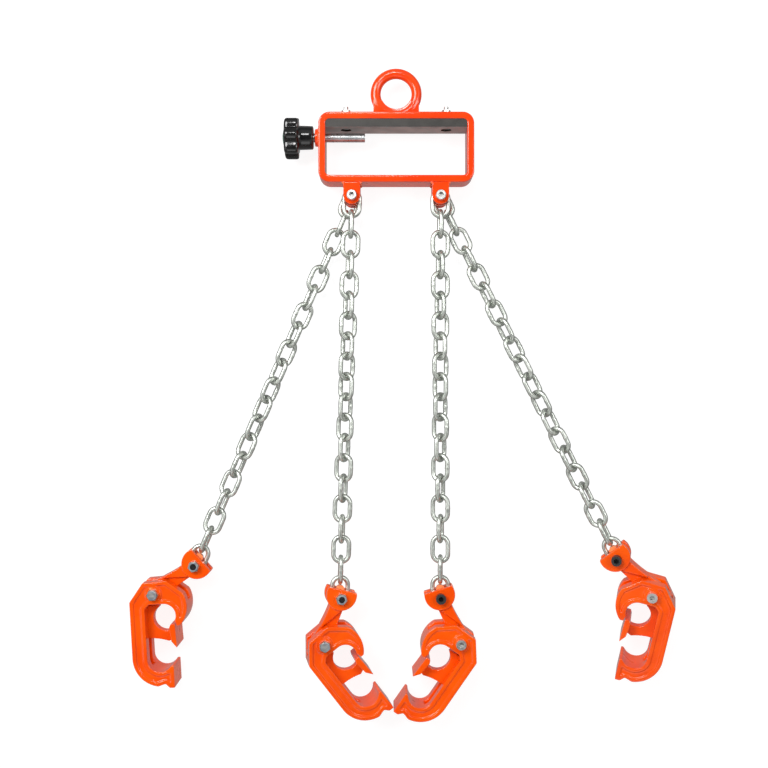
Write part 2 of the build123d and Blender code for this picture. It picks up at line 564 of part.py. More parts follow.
    with BuildPart() as link_keeper:
        with BuildSketch(keeper_plane) as keeper_face:
            with Locations((0, KEEPER_FOOT)):
                Rectangle(2 * KEEPER_HALF_WIDTH, KEEPER_TOP - KEEPER_HALF_WIDTH - KEEPER_FOOT,
                          align=(Align.CENTER, Align.MIN))
            with Locations((0, KEEPER_TOP - KEEPER_HALF_WIDTH)):
                Circle(KEEPER_HALF_WIDTH)
            Circle(BOLT_RADIUS + FIXED_CLEARANCE, mode=Mode.SUBTRACT)
            with Locations((0, 0)):
                Rectangle(2 * (BOLT_RADIUS + FIXED_CLEARANCE), 2 * BOLT_RADIUS,
                          align=(Align.CENTER, Align.MAX), mode=Mode.SUBTRACT)
        extrude(amount=KEEPER_HALF_THICKNESS, both=True)
    finish(link_keeper, f"{leg}_link_keeper")

    with BuildPart() as sliding_jaw:
        with BuildSketch(clamp_plane) as plate_face:
            with BuildLine() as plate_outline:
                Polyline((PLATE_BACK_X, PLATE_TOP_Y), (PLATE_STEP_X, PLATE_TOP_Y),
                         (PLATE_STEP_X, PLATE_STEP_Y), (PLATE_NECK_X, PLATE_STEP_Y),
                         (NOTCH_X, NOTCH_Y), (PLATE_FRONT_X, PLATE_FRONT_Y),
                         (WEDGE_WAIST_X, WEDGE_WAIST_Y), (PLATE_HEEL_X, PLATE_HEEL_Y))
                SagittaArc((PLATE_HEEL_X, PLATE_HEEL_Y), (PLATE_SOLE_X, PLATE_SOLE_Y), -PLATE_SOLE_SAG)
                Polyline((PLATE_SOLE_X, PLATE_SOLE_Y), (PLATE_BACK_X, PLATE_SOLE_Y),
                         (PLATE_BACK_X, PLATE_TOP_Y))
            make_face()
            with Locations((NOTCH_X, NOTCH_Y)):
                Circle(NOTCH_RADIUS, mode=Mode.SUBTRACT)
        extrude(amount=PLATE_HALF_THICKNESS, both=True)
        with BuildSketch(clamp_plane) as wedge_face:
            with BuildLine() as wedge_outline:
                Polyline((WEDGE_BACK_X, WEDGE_TOP_Y - WEDGE_TOP_SLOPE), (WEDGE_WAIST_X, WEDGE_TOP_Y),
                         (WEDGE_FACE_TOP_X, WEDGE_TOP_Y), (WEDGE_FACE_X, WEDGE_FOOT_Y),
                         (WEDGE_WAIST_X, WEDGE_WAIST_Y), close=True)
            make_face()
        extrude(amount=BODY_HALF_WIDTH, both=True)
    finish(sliding_jaw, f"{leg}_sliding_jaw")

    # two bolts, heads on the -Z side, each with a self-locking nut
    for plane, seat, bolt_name in ((head_plane, HEAD_HALF_THICKNESS, "head"),
                                   (clamp_plane, BODY_HALF_WIDTH, "pivot")):
        with BuildPart() as bolt:
            with BuildSketch(plane.offset(-seat - GAP)) as bolt_head:
                Circle(BOLT_HEAD_RADIUS)
            extrude(amount=-BOLT_HEAD_HEIGHT + GAP)
            with BuildSketch(plane.offset(-seat - BOLT_HEAD_HEIGHT)) as bolt_socket:
                RegularPolygon(SOCKET_FLATS / 2, 6, major_radius=False)
            extrude(amount=SOCKET_DEPTH, mode=Mode.SUBTRACT)
            with BuildSketch(plane.offset(-seat - GAP)) as bolt_shank:
                Circle(BOLT_RADIUS)
            extrude(amount=2 * seat + GAP + NUT_HEIGHT)
        finish(bolt, f"{leg}_{bolt_name}_bolt")

        with BuildPart() as nut:
            with BuildSketch(plane.offset(seat + GAP)) as nut_hex:
                RegularPolygon(NUT_FLATS / 2, 6, major_radius=False)
                Circle(BOLT_RADIUS + FIXED_CLEARANCE, mode=Mode.SUBTRACT)
            extrude(amount=NUT_HEX_HEIGHT)
            with BuildSketch(plane.offset(seat + GAP)) as nut_collar:
                Circle(NUT_COLLAR_RADIUS)
                Circle(BOLT_RADIUS + FIXED_CLEARANCE, mode=Mode.SUBTRACT)
            extrude(amount=NUT_HEIGHT - GAP)
        finish(nut, f"{leg}_{bolt_name}_nut")
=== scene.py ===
import json
import math
import random

import bmesh
import bpy
from mathutils import Matrix, Vector


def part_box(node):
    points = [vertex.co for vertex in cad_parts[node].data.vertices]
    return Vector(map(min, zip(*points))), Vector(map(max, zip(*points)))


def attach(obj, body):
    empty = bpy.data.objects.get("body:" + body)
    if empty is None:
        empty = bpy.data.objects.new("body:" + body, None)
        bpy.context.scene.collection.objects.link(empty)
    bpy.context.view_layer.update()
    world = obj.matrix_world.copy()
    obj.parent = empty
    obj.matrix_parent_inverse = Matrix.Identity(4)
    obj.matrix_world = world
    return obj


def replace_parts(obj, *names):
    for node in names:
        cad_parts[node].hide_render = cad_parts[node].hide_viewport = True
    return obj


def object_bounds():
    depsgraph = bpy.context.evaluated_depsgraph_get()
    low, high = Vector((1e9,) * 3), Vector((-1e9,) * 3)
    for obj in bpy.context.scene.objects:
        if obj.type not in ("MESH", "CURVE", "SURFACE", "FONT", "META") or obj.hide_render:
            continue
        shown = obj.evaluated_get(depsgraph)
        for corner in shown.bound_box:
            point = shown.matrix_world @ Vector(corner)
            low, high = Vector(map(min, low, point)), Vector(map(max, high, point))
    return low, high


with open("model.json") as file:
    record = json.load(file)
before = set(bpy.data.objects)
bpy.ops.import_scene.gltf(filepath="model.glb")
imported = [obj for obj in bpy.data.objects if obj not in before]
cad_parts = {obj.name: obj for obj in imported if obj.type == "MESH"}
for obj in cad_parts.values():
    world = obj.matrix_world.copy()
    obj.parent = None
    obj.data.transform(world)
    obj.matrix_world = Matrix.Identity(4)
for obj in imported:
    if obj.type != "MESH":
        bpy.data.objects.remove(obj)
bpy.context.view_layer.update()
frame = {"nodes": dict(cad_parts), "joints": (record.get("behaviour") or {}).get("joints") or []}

MM = 0.001
JOINTS = {j["name"]: j for j in frame["joints"]}
NODES = frame["nodes"]
LEG_NAMES = ("outer_left", "inner_left", "inner_right", "outer_right")
X, Y, Z = Vector((1, 0, 0)), Vector((0, 1, 0)), Vector((0, 0, 1))
SEED = 7
random.seed(SEED)


# ------------------------------------------------------------------ materials
MIDDLE = (0.35, 0.65)                # where most of a noise texture's values lie
BROAD = (0.3, 0.7)                   # the same, with a softer change


class Shader:
    """A Principled material with a few short-hand calls for its node tree."""

    def __init__(self, name, **fixed):
        self.material = bpy.data.materials.new(name)
        self.material.use_nodes = True
        self.tree = self.material.node_tree
        self.principled = self.tree.nodes["Principled BSDF"]
        for socket, value in fixed.items():
            self.principled.inputs[socket.replace("_", " ")].default_value = value
        self.coords = self.tree.nodes.new("ShaderNodeTexCoord").outputs["Object"]
        self.normal = None

    def node(self, kind, **settings):
        made = self.tree.nodes.new(kind)
        for key, value in settings.items():
            setattr(made, key, value)
        return made

    def link(self, output, socket):
        self.tree.links.new(output, socket)

    def noise(self, scale, detail=3.0, rough=0.55, stretch=None):
        texture = self.node("ShaderNodeTexNoise")
        texture.inputs["Scale"].default_value = scale
        texture.inputs["Detail"].default_value = detail
        texture.inputs["Roughness"].default_value = rough
        source = self.coords
        if stretch:
            mapping = self.node("ShaderNodeMapping")
            mapping.inputs["Scale"].default_value = stretch
            self.link(self.coords, mapping.inputs["Vector"])
            source = mapping.outputs["Vector"]
        self.link(source, texture.inputs["Vector"])
        return texture.outputs["Fac"]

    def cells(self, scale):
        texture = self.node("ShaderNodeTexVoronoi")
        texture.inputs["Scale"].default_value = scale
        self.link(self.coords, texture.inputs["Vector"])
        return texture.outputs["Distance"]

    def fit(self, value, span, result=(0, 1)):
        """Carries the values in span over to result, and holds the others at its ends."""
        fitted = self.node("ShaderNodeMapRange")
        fitted.inputs["From Min"].default_value, fitted.inputs["From Max"].default_value = span
        fitted.inputs["To Min"].default_value, fitted.inputs["To Max"].default_value = result
        self.link(value, fitted.inputs["Value"])
        return fitted.outputs["Result"]

    def mix(self, factor, first, second):
        """first where factor is 0 and second where it is 1, each a colour or a node's output."""
        mixed = self.node("ShaderNodeMix", data_type="RGBA")
        # the sockets of its colour form: 0 is the factor, 6 and 7 the colours, 2 the result
        self.link(factor, mixed.inputs[0])
        for socket, value in ((mixed.inputs[6], first), (mixed.inputs[7], second)):
            if isinstance(value, tuple):
                socket.default_value = (*value, 1)
            else:
                self.link(value, socket)
        return mixed.outputs[2]

    def edges(self, low, high):
        """0 on flat faces, 1 on sharp outside edges, which the materials paint as rubbed or worn, and the
        orange paints also as a painted highlight.
        """
        geometry = self.node("ShaderNodeNewGeometry")
        return self.fit(geometry.outputs["Pointiness"], span=(low, high))

    def bump(self, height, strength, distance):
        bumped = self.node("ShaderNodeBump")
        bumped.inputs["Strength"].default_value = strength
        bumped.inputs["Distance"].default_value = distance
        self.link(height, bumped.inputs["Height"])
        if self.normal:
            self.link(self.normal, bumped.inputs["Normal"])
        self.normal = bumped.outputs["Normal"]

    def done(self, colour, roughness=None):
        self.link(colour, self.principled.inputs["Base Color"])
        if roughness is not None:
            self.link(roughness, self.principled.inputs["Roughness"])
        if self.normal:
            self.link(self.normal, self.principled.inputs["Normal"])
        return self.material


def enamel(name, light, dark, edge_wear_and_highlight, lumps):
    """Thick glossy orange paint over a casting or weldment."""
    paint = Shader(name, Coat_Weight=1.0, Coat_Roughness=0.07, Coat_IOR=1.5, Specular_IOR_Level=0.05)
    colour = paint.mix(paint.fit(paint.noise(scale=24, detail=4), span=MIDDLE), light, dark)
    speck = paint.fit(paint.noise(scale=420, detail=2), span=(0.64, 0.74), result=(0, 0.3))
    colour = paint.mix(speck, colour, dark)
    # paler edges: the paint is worn thin there, and the paler colour is also a painted highlight along the
    # rims
    colour = paint.mix(paint.edges(low=0.53, high=0.60), colour, edge_wear_and_highlight)
    paint.bump(paint.noise(scale=55, detail=3), strength=lumps, distance=1.2 * MM)
    paint.bump(paint.noise(scale=600, detail=2), strength=0.03, distance=0.2 * MM)
    return paint.done(colour, paint.fit(paint.noise(scale=45, detail=3), span=BROAD, result=(0.24, 0.4)))


def zinc(name, light, dark, scratch, rough, grain):
    """Bright zinc plate with duller patches and fine rubbing marks, which scratch scales along each axis."""
    plate = Shader(name, Metallic=1.0)
    patches = plate.fit(plate.noise(scale=160, detail=5, rough=0.6), span=(0.36, 0.66))
    colour = plate.mix(patches, light, dark)
    colour = plate.mix(plate.edges(low=0.52, high=0.58), colour, ZINC_RUBBED)
    plate.bump(plate.noise(scale=330, detail=4), strength=grain, distance=0.4 * MM)
    plate.bump(plate.noise(scale=700, detail=2, stretch=scratch), strength=grain / 2, distance=0.2 * MM)
    return plate.done(colour, plate.fit(plate.noise(scale=240, detail=3), span=BROAD, result=rough))


def chain_zinc():
    """Zinc with a tone of its own for each link, from the mesh's tone attribute."""
    plate = Shader("zinc_chain", Metallic=0.95)
    tone = plate.node("ShaderNodeAttribute", attribute_name="tone").outputs["Fac"]
    patches = plate.fit(plate.noise(scale=110, detail=4, rough=0.5), span=(0.36, 0.64))
    colour = plate.mix(tone, CHAIN_DULLEST, CHAIN_BRIGHTEST)
    colour = plate.mix(patches, colour, CHAIN_PATCH)
    colour = plate.mix(plate.edges(low=0.53, high=0.60), colour, CHAIN_RUBBED)
    plate.bump(plate.noise(scale=150, detail=2), strength=0.03, distance=0.4 * MM)
    plate.bump(plate.cells(scale=500), strength=0.02, distance=0.2 * MM)
    return plate.done(colour, plate.fit(plate.noise(scale=120, detail=3), span=BROAD, result=(0.34, 0.48)))


def plain(name, dark, light, rough, scale, strength, **fixed):
    """Plastic or black steel: two close tones, paler edges and a fine grain."""
    shader = Shader(name, **fixed)
    rubbed = tuple(min(1, 1.8 * channel + 0.01) for channel in light)
    colour = shader.mix(shader.fit(shader.noise(scale, detail=4), span=MIDDLE), dark, light)
    colour = shader.mix(shader.edges(low=0.54, high=0.62), colour, rubbed)
    shader.bump(shader.noise(scale * 6, detail=3), strength, distance=0.3 * MM)
    return shader.done(colour, shader.fit(shader.noise(scale * 2, detail=3), span=BROAD, result=rough))


def rubber(name, dark, light):
    """Black moulded rubber with a fine pebbled skin."""
    skin = Shader(name, Specular_IOR_Level=0.35)
    colour = skin.mix(skin.fit(skin.noise(scale=60, detail=5), span=MIDDLE), dark, light)
    skin.bump(skin.cells(scale=1100), strength=0.25, distance=0.3 * MM)
    skin.bump(skin.noise(scale=1900, detail=2), strength=0.2, distance=0.2 * MM)
    return skin.done(colour, skin.fit(skin.noise(scale=120, detail=3), span=BROAD, result=(0.32, 0.46)))


# linear colours
# the third colour of each paint is its edge colour: worn paint and a painted highlight in one
CAST_LIGHT, CAST_DEEP, CAST_WEAR_AND_HIGHLIGHT = (0.92, 0.098, 0.0), (0.82, 0.066, 0.0), (1.0, 0.30, 0.11)
PLATE_LIGHT, PLATE_DEEP, PLATE_WEAR_AND_HIGHLIGHT = (0.88, 0.060, 0.001), (0.76, 0.041, 0.001), (1.0, 0.27, 0.10)
ZINC_RUBBED = (0.93, 0.93, 0.91)
CHAIN_DULLEST, CHAIN_BRIGHTEST = (0.64, 0.67, 0.62), (0.80, 0.83, 0.775)
CHAIN_PATCH, CHAIN_RUBBED = (0.56, 0.59, 0.545), (0.86, 0.88, 0.84)
BOLT_LIGHT, BOLT_DARK = (0.68, 0.68, 0.66), (0.50, 0.50, 0.48)
STUD_LIGHT, STUD_DARK = (0.62, 0.65, 0.66), (0.46, 0.49, 0.50)
OXIDE_DARK, OXIDE_LIGHT = (0.007, 0.007, 0.008), (0.016, 0.016, 0.017)
KNOB_DARK, KNOB_LIGHT = (0.004, 0.004, 0.004), (0.009, 0.009, 0.009)
CAP_DARK, CAP_LIGHT = (0.004, 0.085, 0.045), (0.010, 0.13, 0.075)
NYLON_DARK, NYLON_LIGHT = (0.06, 0.16, 0.36), (0.1, 0.24, 0.48)
RUBBER_DARK, RUBBER_LIGHT = (0.024, 0.022, 0.019), (0.038, 0.034, 0.030)
# paler rubber that stands in for light: a painted sheen on the pad's underside
RUBBER_PAINTED_SHEEN_DARK, RUBBER_PAINTED_SHEEN_LIGHT = (0.21, 0.20, 0.19), (0.32, 0.31, 0.295)
MAT = {
    "cast": enamel("orange_cast", CAST_LIGHT, CAST_DEEP, CAST_WEAR_AND_HIGHLIGHT, lumps=0.2),
    "weldment": enamel("orange_weldment", PLATE_LIGHT, PLATE_DEEP, PLATE_WEAR_AND_HIGHLIGHT, lumps=0.1),
    "chain": chain_zinc(),
    "bolt": zinc("zinc_bolt", BOLT_LIGHT, BOLT_DARK, scratch=(1, 1, 9), rough=(0.28, 0.42), grain=0.1),
    "stud": zinc("zinc_stud", STUD_LIGHT, STUD_DARK, scratch=(9, 1, 1), rough=(0.26, 0.36), grain=0.03),
    "black": plain("black_oxide", OXIDE_DARK, OXIDE_LIGHT, rough=(0.2, 0.34), scale=300, strength=0.1,
                   Specular_IOR_Level=0.35),
    "knob": plain("knob_plastic", KNOB_DARK, KNOB_LIGHT, rough=(0.12, 0.2), scale=120, strength=0.03,
                  Coat_Weight=0.35, Coat_Roughness=0.04),
    "cap": plain("cap_plastic", CAP_DARK, CAP_LIGHT, rough=(0.16, 0.28), scale=200, strength=0.05),
    "nylon": plain("nylon_insert", NYLON_DARK, NYLON_LIGHT, rough=(0.3, 0.45), scale=300, strength=0.1),
    "rubber": rubber("rubber", RUBBER_DARK, RUBBER_LIGHT),
    # the paler rubber is a painted sheen for the grazing light on the pad's underside
    "rubber_painted_sheen": rubber("rubber_painted_sheen", RUBBER_PAINTED_SHEEN_DARK, RUBBER_PAINTED_SHEEN_LIGHT),
}


# ------------------------------------------------------------------- geometry
def add_piece(name, mesh, material, body):
    """Links a mesh as a named piece that rides on a body."""
    obj = bpy.data.objects.new(name, mesh)
    bpy.context.scene.collection.objects.link(obj)
    mesh.materials.append(material)
    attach(obj, body)
    return obj


def shade_smooth(mesh):
    mesh.polygons.foreach_set("use_smooth", [True] * len(mesh.polygons))


def mesh_from(name, verts, faces):
    mesh = bpy.data.meshes.new(name)
    mesh.from_pydata([tuple(v) for v in verts], [], faces)
    mesh.validate()
    shade_smooth(mesh)
    return mesh


def tube_faces(rings, sides, close_path, first=0):
    """Quads between successive rings of a tube."""
    faces = []
    for i in range(rings if close_path else rings - 1):
        a, b = first + i * sides, first + (i + 1) % rings * sides
        for k in range(sides):
            n = (k + 1) % sides
            faces.append((a + k, a + n, b + n, b + k))
    return faces


def end_caps(rings, sides):
    """The two flat ends of an open tube."""
    return [tuple(reversed(range(sides))), tuple(range((rings - 1) * sides, rings * sides))]


def clamp_matrix(leg):
    """Clamp frame: origin on the pivot, X towards the mouth, Y towards the arch, Z towards the nut."""
    up = -Vector(JOINTS[f"{leg}_jaw_slide"]["axis"]).normalized()
    nutwards = -Vector(JOINTS[f"{leg}_clamp_swing"]["axis"]).normalized()
    m = Matrix((up.cross(nutwards), up, nutwards)).transposed().to_4x4()
    m.translation = Vector(JOINTS[f"{leg}_clamp_swing"]["pos_m"])
    return m


SMOOTH_FACTOR = 0.5
WELD_DISTANCE = 1e-6                 # joins the vertices that the CAD mesh splits along its edges


def cast_mesh(node, matrix, voxel_mm, rounds, keep, name):
    """A CAD node's mesh in the frame of matrix, with its edges rounded all over."""
    mesh = NODES[node].data.copy()
    mesh.transform(matrix.inverted())
    obj = bpy.data.objects.new(name, mesh)
    bpy.context.scene.collection.objects.link(obj)
    bm = bmesh.new()
    bm.from_mesh(mesh)
    bmesh.ops.remove_doubles(bm, verts=bm.verts, dist=WELD_DISTANCE)
    bm.to_mesh(mesh)
    bm.free()
    remesh = obj.modifiers.new("remesh", "REMESH")
    remesh.mode = "VOXEL"
    remesh.voxel_size = voxel_mm * MM
    smooth = obj.modifiers.new("smooth", "SMOOTH")
    smooth.factor, smooth.iterations = SMOOTH_FACTOR, rounds
    thin = obj.modifiers.new("thin", "DECIMATE")
    thin.ratio = keep
    evaluated = obj.evaluated_get(bpy.context.evaluated_depsgraph_get())
    done = bpy.data.meshes.new_from_object(evaluated)
    done.name = name
    done.materials.clear()
    bpy.data.objects.remove(obj)
    shade_smooth(done)
    return done


# ---------------------------------------------------------------------- chain
BAR = 3.0 * MM
HALF_WIDTH = 10.0 * MM
LINKS = 20
PLAY = 0.3 * MM                      # between two links that bear on one another
BOLT_OFFSET = 4.2 * MM               # from a link's inner end to the axis of the bolt it hangs on
LINK_SIDES = 18
ARC_STEPS = 14
STRAIGHT_STEPS = 8
BAR_INSET = 0.06 * MM                # keeps the uneven bar inside the CAD's
RIPPLE = 0.025 * MM
RIPPLE_LOBES = 3
RIPPLE_TWIST = 900                   # radians for each metre along the link
LINK_WELD_LENGTH = 1.3 * MM
LINK_WELD_HEIGHT = (0.28, 0.07)      # millimetres: the least, and what chance adds
LINK_WELD_SHIFT = 0.8 * MM
WELD_SIDE = 0.9 * HALF_WIDTH         # only the leg of the link beyond this carries the weld
BACK_TO_FRONT = 3                    # one link in so many has its weld on the other side


def link_ring(straight):
    """Vertices of one link in its own frame: long axis Y, lying in XY, with a weld on one side."""
    path = []
    for end in (1, -1):
        for i in range(ARC_STEPS + 1):
            a = math.pi * i / ARC_STEPS
            x, y = end * HALF_WIDTH * math.cos(a), end * (straight / 2 + HALF_WIDTH * math.sin(a))
            path.append((x, y, Vector((math.cos(a) * end, math.sin(a) * end, 0))))
        for k in range(1, STRAIGHT_STEPS):
            y = straight / 2 - straight * k / STRAIGHT_STEPS
            path.append((-end * HALF_WIDTH, end * y, Vector((-end, 0, 0))))
    least, chance = LINK_WELD_HEIGHT
    lump = least + chance * random.random()
    shift = (random.random() - 0.5) * LINK_WELD_SHIFT
    verts = []
    for x, y, out in path:
        near = math.exp(-((y - shift) / LINK_WELD_LENGTH) ** 2) if x > WELD_SIDE else 0
        for k in range(LINK_SIDES):
            t = 2 * math.pi * k / LINK_SIDES
            ripple = RIPPLE * math.sin(RIPPLE_LOBES * t + y * RIPPLE_TWIST)
            r = BAR - BAR_INSET + ripple + near * lump * MM
            verts.append(Vector((x, y, 0)) + out * (r * math.cos(t)) + Vector((0, 0, r * math.sin(t))))
    return verts, len(path)


def build_chain(leg):
    lug = Vector(JOINTS[f"{leg}_lug_swing"]["pos_m"])
    head = Vector(JOINTS[f"{leg}_lever_swing"]["pos_m"])
    up = (lug - head).normalized()
    across = up.cross(Z).normalized()
    chain_frame = Matrix((across, up, across.cross(up))).transposed()
    # the links share out the quarter turn between the lug bolt and the clamp, and the clamp's own roll
    flat = Vector(JOINTS[f"{leg}_lug_swing"]["axis"])
    rolled = Vector(JOINTS[f"{leg}_lever_swing"]["axis"])
    roll = math.atan2(flat.cross(rolled).dot(up), flat.dot(rolled))
    turn = math.pi / 2 + (math.pi / 2 + roll) / (LINKS - 1)
    length = (head - lug).length
    pitch = (length + 2 * BOLT_OFFSET - PLAY) / LINKS
    straight = pitch + PLAY - 2 * (HALF_WIDTH - BAR)
    first = (length - (LINKS - 1) * pitch) / 2
    groups = (("top_link", "top", [0]), ("chain_upper", "run_a", range(1, LINKS // 2)),
              ("chain_lower", "run_b", range(LINKS // 2, LINKS - 1)), ("end_link", "end", [LINKS - 1]))
    for part, body, members in groups:
        verts, faces, tones = [], [], []
        for i in members:
            ring, rings = link_ring(straight)
            spin = Matrix.Rotation(i * turn, 3, "Y")
            if i % BACK_TO_FRONT == 1:
                spin = spin @ Matrix.Rotation(math.pi, 3, "Y")
            place = lug - up * (first + i * pitch)
            start = len(verts)
            verts += [place + chain_frame @ (spin @ v) for v in ring]
            faces += tube_faces(rings, LINK_SIDES, True, start)
            tones += [random.random()] * len(ring)
        name = f"{leg}_{part}_bar"
        mesh = mesh_from(name, verts, faces)
        layer = mesh.attributes.new("tone", "FLOAT", "POINT")
        layer.data.foreach_set("value", tones)
        piece = add_piece(name, mesh, MAT["chain"], f"{leg}_{body}")
        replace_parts(piece, f"{leg}_{part}")


for leg_name in LEG_NAMES:
    build_chain(leg_name)

# ------------------------------------------------------- castings and weldment
# part, body it rides on, voxel in mm, rounds of smoothing, share of the faces kept
CAST_PARTS = (("clamp_body", "clamp", 0.75, 10, 0.3),
              ("lever", "lever_body", 0.6, 8, 0.35),
              ("sliding_jaw", "jaw", 0.6, 7, 0.35))
WELDED_PARTS = (("lifting_eye", 0.6, 9, 0.4),
                ("fork_sleeve", 0.7, 6, 0.3),
                ("suspension_lugs", 0.5, 5, 0.4),
                ("screw_boss", 0.4, 3, 0.6))
PATTERN_LEG = "outer_left"           # the four clamps are alike, so one leg's meshes serve for all
LEVER_BORE = 4.5 * MM

pattern_frame = clamp_matrix(PATTERN_LEG)
cast_meshes = {}
for part, body, voxel, rounds, keep in CAST_PARTS:
    cast_meshes[part] = cast_mesh(f"{PATTERN_LEG}_{part}", pattern_frame, voxel, rounds, keep, f"{part}_cast")
# the rounding closes the lever's bore a little, so its wall is put back clear of the pivot bolt
for vertex in cast_meshes["lever"].vertices:
    reach = math.hypot(vertex.co.x, vertex.co.y)
    if reach < LEVER_BORE:
        vertex.co.x *= LEVER_BORE / reach
        vertex.co.y *= LEVER_BORE / reach
for node, voxel, rounds, keep in WELDED_PARTS:
    mesh = cast_mesh(node, Matrix.Identity(4), voxel, rounds, keep, node + "_forged")
    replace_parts(add_piece(node + "_forged", mesh, MAT["weldment"], "frame"), node)
for leg_name in LEG_NAMES:
    for part, body, *_ in CAST_PARTS:
        placed = cast_meshes[part].copy()
        placed.transform(clamp_matrix(leg_name))
        piece = add_piece(f"{leg_name}_{part}_cast", placed, MAT["cast"], f"{leg_name}_{body}")
        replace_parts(piece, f"{leg_name}_{part}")


# ------------------------------------------------------------- clamping screw
THREAD_PITCH = 1.75 * MM
THREAD_DEPTH = 0.5 * MM
THREAD_SIDES = 40
THREAD_STEPS = 16                    # rings for each turn
THREAD_RUN_OUT = 1.2                 # turns over which the thread fades at the free end
FLANK_SLOPE = 1.7
CREST_FLAT = 0.3


def thread_rod(name, low, high):
    """A threaded rod that fills a box along X, with a real helical thread."""
    axis = (low + high) / 2
    radius = (high.z - low.z) / 2
    step = THREAD_PITCH / THREAD_STEPS
    count = int((high.x - low.x) / step) + 1
    verts = []
    for j in range(count):
        x = low.x + min(j * step, high.x - low.x)
        full = min(1, (high.x - x) / (THREAD_RUN_OUT * THREAD_PITCH))
        for k in range(THREAD_SIDES):
            t = 2 * math.pi * k / THREAD_SIDES
            phase = (x / THREAD_PITCH - k / THREAD_SIDES) % 1
            tooth = FLANK_SLOPE * (1 - abs(2 * phase - 1)) - CREST_FLAT
            cut = THREAD_DEPTH * max(0, min(1, tooth))
            r = radius - max(cut, THREAD_DEPTH * (1 - full))
            verts.append((x, axis.y + r * math.cos(t), axis.z + r * math.sin(t)))
    faces = tube_faces(count, THREAD_SIDES, False) + end_caps(count, THREAD_SIDES)
    return mesh_from(name, verts, faces)


stud_low, stud_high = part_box("clamp_stud")
stud = add_piece("clamp_stud_thread", thread_rod("clamp_stud_thread", stud_low, stud_high), MAT["stud"],
                 "stud")
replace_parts(stud, "clamp_stud")

KNOB_SIDES = 140
KNOB_REACH = 27.3 * MM
LOBES = 7
LOBE_DEPTH = 5.6 * MM
LOBE_ROUNDNESS = 0.62
# The lobed rim: millimetres from the outer face, share of the rim's reach, how much of the lobes shows
KNOB_RIM = ((0.0, 0.72, 0.6), (0.35, 0.86, 0.9), (1.3, 0.95, 1), (3.0, 0.995, 1), (5.5, 1.0, 1),
            (9.0, 1.0, 1), (13.0, 1.0, 1), (15.4, 1.0, 1), (17.5, 0.985, 1), (18.2, 0.95, 0.95),
            (18.3, 0.72, 0.5))
# Round parts in millimetres, each a distance from the outer face and a radius
KNOB_CAP_SEAT = ((1.45, 0.2), (1.45, 12.95), (0.15, 13.05), (0.0, 14.2))
KNOB_HUB = ((18.6, 15.9), (19.2, 15.4), (24.0, 15.3), (31.0, 15.1), (36.0, 14.9), (37.0, 14.4),
            (37.38, 13.2), (37.38, 6.1))


def knob_mesh(low, axis):
    """Star knob along X from low: seven soft lobes, a dished outer face and a stepped hub."""
    angles = [2 * math.pi * k / KNOB_SIDES for k in range(KNOB_SIDES)]
    # rounded lobes with wide hollows between, one hollow facing straight down
    waves = [0.5 + 0.5 * math.cos(LOBES * (t + math.pi / 2) + math.pi) for t in angles]
    profile = [(along, [radius * MM] * KNOB_SIDES) for along, radius in KNOB_CAP_SEAT]
    for along, share, show in KNOB_RIM:
        hollows = [LOBE_DEPTH * (1 - wave ** LOBE_ROUNDNESS) * show for wave in waves]
        profile.append((along, [(KNOB_REACH - hollow) * share for hollow in hollows]))
    profile += [(along, [radius * MM] * KNOB_SIDES) for along, radius in KNOB_HUB]
    verts = []
    for along, radii in profile:
        x = low.x + along * MM
        verts += [(x, axis.y + r * math.cos(t), axis.z + r * math.sin(t)) for t, r in zip(angles, radii)]
    faces = tube_faces(len(profile), KNOB_SIDES, False)
    faces.append(tuple(range(KNOB_SIDES)))
    return mesh_from("star_knob_moulding", verts, faces)


knob_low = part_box("star_knob")[0]
knob = add_piece("star_knob_moulding", knob_mesh(knob_low, (stud_low + stud_high) / 2), MAT["knob"], "knob")
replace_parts(knob, "star_knob")


# ---------------------------------------------------------------- weld beads
BEAD_SIDES = 10
BEAD_WAVE, BEAD_WAVE_STEP = 0.11, 1.9    # share of the radius, and radians between points
BEAD_CHANCE = 0.06                       # share of the radius left to chance
BEAD_TAPER = 0.35                        # an open bead's end, and how much each point on adds
NEARLY_PARALLEL = 0.1


def bead(name, points, radius, closed):
    """A weld bead: a tube with ripples, along points."""
    verts = []
    n = len(points)
    for i, p in enumerate(points):
        ahead = points[(i + 1) % n] if closed or i < n - 1 else p
        behind = points[i - 1] if closed or i else p
        along = (ahead - behind).normalized()
        side = along.cross(Y)
        side = side.normalized() if side.length > NEARLY_PARALLEL else along.cross(X).normalized()
        other = along.cross(side)
        r = radius * (1 + BEAD_WAVE * math.sin(i * BEAD_WAVE_STEP) + BEAD_CHANCE * random.random())
        if not closed:
            r *= min(1, BEAD_TAPER + min(i, n - 1 - i) * BEAD_TAPER)
        for k in range(BEAD_SIDES):
            t = 2 * math.pi * k / BEAD_SIDES
            verts.append(p + side * (r * math.cos(t)) + other * (r * math.sin(t)))
    faces = tube_faces(n, BEAD_SIDES, closed)
    if not closed:
        faces += end_caps(n, BEAD_SIDES)
    return mesh_from(name, verts, faces)


def add_bead(name, points, radius, closed):
    add_piece(name, bead(name, points, radius, closed), MAT["weldment"], "frame")


def loop_points(centre, u, v, radius, count):
    steps = [2 * math.pi * i / count for i in range(count)]
    return [centre + u * (radius * math.cos(t)) + v * (radius * math.sin(t)) for t in steps]


def frame_points(centre, u, v, half_u, half_v, step):
    """Evenly spaced points round a rectangle."""
    corners = [(half_u, -half_v), (half_u, half_v), (-half_u, half_v), (-half_u, -half_v)]
    points = []
    for (a, b), (c, d) in zip(corners, corners[1:] + corners[:1]):
        count = round(math.hypot(c - a, d - b) / step)
        for i in range(count):
            points.append(centre + u * (a + (c - a) * i / count) + v * (b + (d - b) * i / count))
    return points


